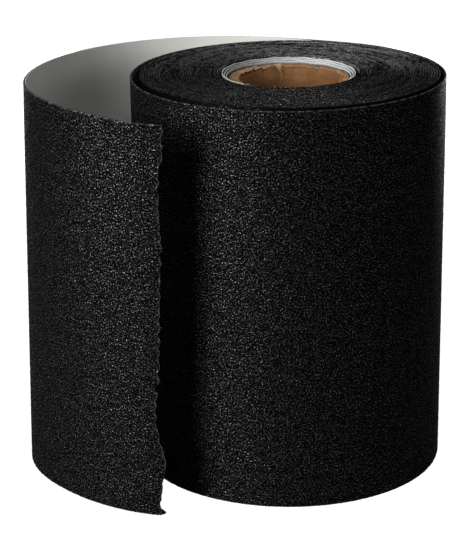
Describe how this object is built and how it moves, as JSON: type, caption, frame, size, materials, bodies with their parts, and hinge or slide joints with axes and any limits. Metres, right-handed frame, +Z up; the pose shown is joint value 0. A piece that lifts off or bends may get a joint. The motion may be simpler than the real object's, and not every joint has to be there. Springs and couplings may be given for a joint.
{
  "type": "anti-slip grip tape roll",
  "caption": "Roll of wide black mineral-grit anti-slip tape on a cardboard core, standing on its end with a loose outer turn and its free end sprung open.",
  "frame": {"origin": "middle of the footprint of the roll and its open tail, on the surface that it stands on", "axes": "+Z up along the roll axis; the free tail opens towards -X and its cut end faces -Y, the front"},
  "size_m": [0.161, 0.1368, 0.1524],
  "materials": {
    "grit_tape": "black mineral grit bonded on film, rough and matt with small glints",
    "release_liner": "smooth pale grey coated paper",
    "leader_paper": "white paper edges with faint grey lines",
    "kraft_board": "brown kraft board, matt, torn at the rim",
    "glue_strip": "thin double-sided adhesive strip"
  },
  "bodies": {
    "roll": {"core_tube": "kraft_board", "core_starter_strip": "glue_strip", "leader_turns": "leader_paper", "wound_tape": "grit_tape"},
    "loose_turn": {"loose_turn_tape": "grit_tape", "loose_turn_liner": "release_liner"},
    "tail_1": {"tail_tape_1": "grit_tape", "tail_liner_1": "release_liner"},
    "tail_2": {"tail_tape_2": "grit_tape", "tail_liner_2": "release_liner"},
    "tail_3": {"tail_tape_3": "grit_tape", "tail_liner_3": "release_liner"},
    "tail_4": {"tail_tape_4": "grit_tape", "tail_liner_4": "release_liner"},
    "tail_5": {"tail_tape_5": "grit_tape", "tail_liner_5": "release_liner"},
    "tail_6": {"tail_tape_6": "grit_tape", "tail_liner_6": "release_liner"},
    "tail_7": {"tail_tape_7": "grit_tape", "tail_liner_7": "release_liner"},
    "tail_8": {"tail_tape_8": "grit_tape", "tail_liner_8": "release_liner"},
    "end_flap": {"end_flap": "grit_tape"}
  },
  "joints": [
    {"name": "unwind_turn", "type": "hinge", "parent": "roll", "child": "loose_turn", "pos_m": [0.02031, -0.00211, 0], "axis": [0, 0, -1], "range_deg": [-10, 90]},
    {"name": "tail_bend_1", "type": "hinge", "parent": "loose_turn", "child": "tail_1", "pos_m": [0.04834, 0.0506, 0], "axis": [0, 0, -1], "range_deg": [-2.5, 22], "stiffness_Nm_per_rad": 0.06},
    {"name": "tail_bend_2", "type": "hinge", "parent": "tail_1", "child": "tail_2", "pos_m": [0.02016, 0.06331, 0], "axis": [0, 0, -1], "range_deg": [-2.5, 22], "stiffness_Nm_per_rad": 0.06},
    {"name": "tail_bend_3", "type": "hinge", "parent": "tail_2", "child": "tail_3", "pos_m": [-0.01009, 0.06774, 0], "axis": [0, 0, -1], "range_deg": [-2.5, 22], "stiffness_Nm_per_rad": 0.06},
    {"name": "tail_bend_4", "type": "hinge", "parent": "tail_3", "child": "tail_4", "pos_m": [-0.03957, 0.05964, 0], "axis": [0, 0, -1], "range_deg": [-2.5, 22], "stiffness_Nm_per_rad": 0.06},
    {"name": "tail_bend_5", "type": "hinge", "parent": "tail_4", "child": "tail_5", "pos_m": [-0.06332, 0.04037, 0], "axis": [0, 0, -1], "range_deg": [-2.5, 22], "stiffness_Nm_per_rad": 0.06},
    {"name": "tail_bend_6", "type": "hinge", "parent": "tail_5", "child": "tail_6", "pos_m": [-0.07732, 0.0132, 0], "axis": [0, 0, -1], "range_deg": [-2.5, 22], "stiffness_Nm_per_rad": 0.06},
    {"name": "tail_bend_7", "type": "hinge", "parent": "tail_6", "child": "tail_7", "pos_m": [-0.07898, -0.01727, 0], "axis": [0, 0, -1], "range_deg": [-2.5, 22], "stiffness_Nm_per_rad": 0.06},
    {"name": "tail_bend_8", "type": "hinge", "parent": "tail_7", "child": "tail_8", "pos_m": [-0.06637, -0.04499, 0], "axis": [0, 0, -1], "range_deg": [-2.5, 22], "stiffness_Nm_per_rad": 0.06},
    {"name": "end_peel", "type": "hinge", "parent": "tail_8", "child": "end_flap", "pos_m": [-0.05251, -0.05841, 0], "axis": [0, 0, -1], "range_deg": [0, 110], "stiffness_Nm_per_rad": 0.01}
  ],
  "couplings": [
    {"joint": "tail_bend_2", "follows": "tail_bend_1", "ratio": 1},
    {"joint": "tail_bend_3", "follows": "tail_bend_1", "ratio": 1},
    {"joint": "tail_bend_4", "follows": "tail_bend_1", "ratio": 1},
    {"joint": "tail_bend_5", "follows": "tail_bend_1", "ratio": 1},
    {"joint": "tail_bend_6", "follows": "tail_bend_1", "ratio": 1},
    {"joint": "tail_bend_7", "follows": "tail_bend_1", "ratio": 1},
    {"joint": "tail_bend_8", "follows": "tail_bend_1", "ratio": 1}
  ]
}
